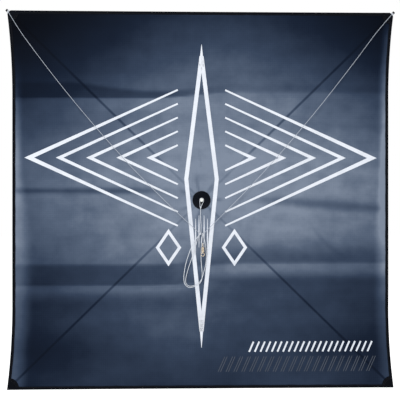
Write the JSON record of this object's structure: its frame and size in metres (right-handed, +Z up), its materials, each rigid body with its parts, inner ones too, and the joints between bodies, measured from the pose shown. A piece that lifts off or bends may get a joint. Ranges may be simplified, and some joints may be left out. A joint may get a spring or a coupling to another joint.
{
  "type": "flat square kite",
  "caption": "Flat square kite: a stretched cloth sail, diagonal spars that plug into a centre hub, and a bridle with a tow loop and swivel.",
  "frame": {"origin": "centre of the hub's flat back face", "axes": "+Y out of the hub's back, away from the sail's front; +X to the right seen from the front, along the sail's width; +Z up"},
  "size_m": [0.9226, 0.0288, 0.8956],
  "materials": {
    "sail_cloth": "satin",
    "black_cloth": "matte",
    "black_plastic": "gloss",
    "pale_nylon": "satin",
    "spar_rod": "satin",
    "cap_vinyl": "satin",
    "cord": "matte",
    "brass_wire": "polished",
    "brass_barrel": "satin"
  },
  "bodies": {
    "kite": {"binding_bottom": "black_cloth", "binding_left": "black_cloth", "binding_right": "black_cloth", "binding_top": "black_cloth", "bridle_leg_centre": "cord", "bridle_leg_left": "cord", "bridle_leg_right": "cord", "centre_loop": "cord", "centre_patch": "black_cloth", "corner_patch_bottom_left": "black_cloth", "corner_patch_bottom_right": "black_cloth", "corner_patch_top_left": "black_cloth", "corner_patch_top_right": "black_cloth", "hub_body": "black_plastic", "hub_disc": "black_plastic", "knot_centre": "cord", "knot_left": "cord", "knot_right": "cord", "line_post": "pale_nylon", "noose_left": "cord", "noose_right": "cord", "sail": "sail_cloth", "spar_pocket_bottom_left": "black_cloth", "spar_pocket_bottom_right": "black_cloth", "spar_sleeve_top_left": "black_cloth", "spar_sleeve_top_right": "black_cloth", "swivel_hitch": "cord", "tow_loop_back": "cord", "tow_loop_front": "cord"},
    "spar_top_left": {"spar_top_left": "spar_rod", "spar_cap_top_left": "cap_vinyl"},
    "spar_top_right": {"spar_top_right": "spar_rod", "spar_cap_top_right": "cap_vinyl"},
    "spar_bottom_left": {"spar_bottom_left": "spar_rod", "spar_cap_bottom_left": "cap_vinyl"},
    "spar_bottom_right": {"spar_bottom_right": "spar_rod", "spar_cap_bottom_right": "cap_vinyl"},
    "swivel_eye": {"swivel_upper_eye": "brass_wire"},
    "swivel_barrel": {"swivel_barrel": "brass_barrel"},
    "swivel_line_eye": {"swivel_lower_eye": "brass_wire"}
  },
  "joints": [
    {"name": "spar_top_left_slide", "type": "slide", "parent": "kite", "child": "spar_top_left", "axis": [-0.7161, 0, 0.698], "range_m": [0, 0.012]},
    {"name": "spar_top_right_slide", "type": "slide", "parent": "kite", "child": "spar_top_right", "axis": [0.7161, 0, 0.698], "range_m": [0, 0.012]},
    {"name": "spar_bottom_left_slide", "type": "slide", "parent": "kite", "child": "spar_bottom_left", "axis": [-0.7161, 0, -0.698], "range_m": [0, 0.012]},
    {"name": "spar_bottom_right_slide", "type": "slide", "parent": "kite", "child": "spar_bottom_right", "axis": [0.7161, 0, -0.698], "range_m": [0, 0.012]},
    {"name": "swivel_swing", "type": "hinge", "parent": "kite", "child": "swivel_eye", "pos_m": [0.0025, -0.024, -0.103], "axis": [-1, 0, 0], "range_deg": [0, 120]},
    {"name": "barrel_spin", "type": "hinge", "parent": "swivel_eye", "child": "swivel_barrel", "pos_m": [0.0025, -0.024, -0.1163], "axis": [0, 0, 1], "continuous": true},
    {"name": "line_eye_spin", "type": "hinge", "parent": "swivel_barrel", "child": "swivel_line_eye", "pos_m": [0.0025, -0.024, -0.1163], "axis": [0, 0, 1], "continuous": true}
  ]
}
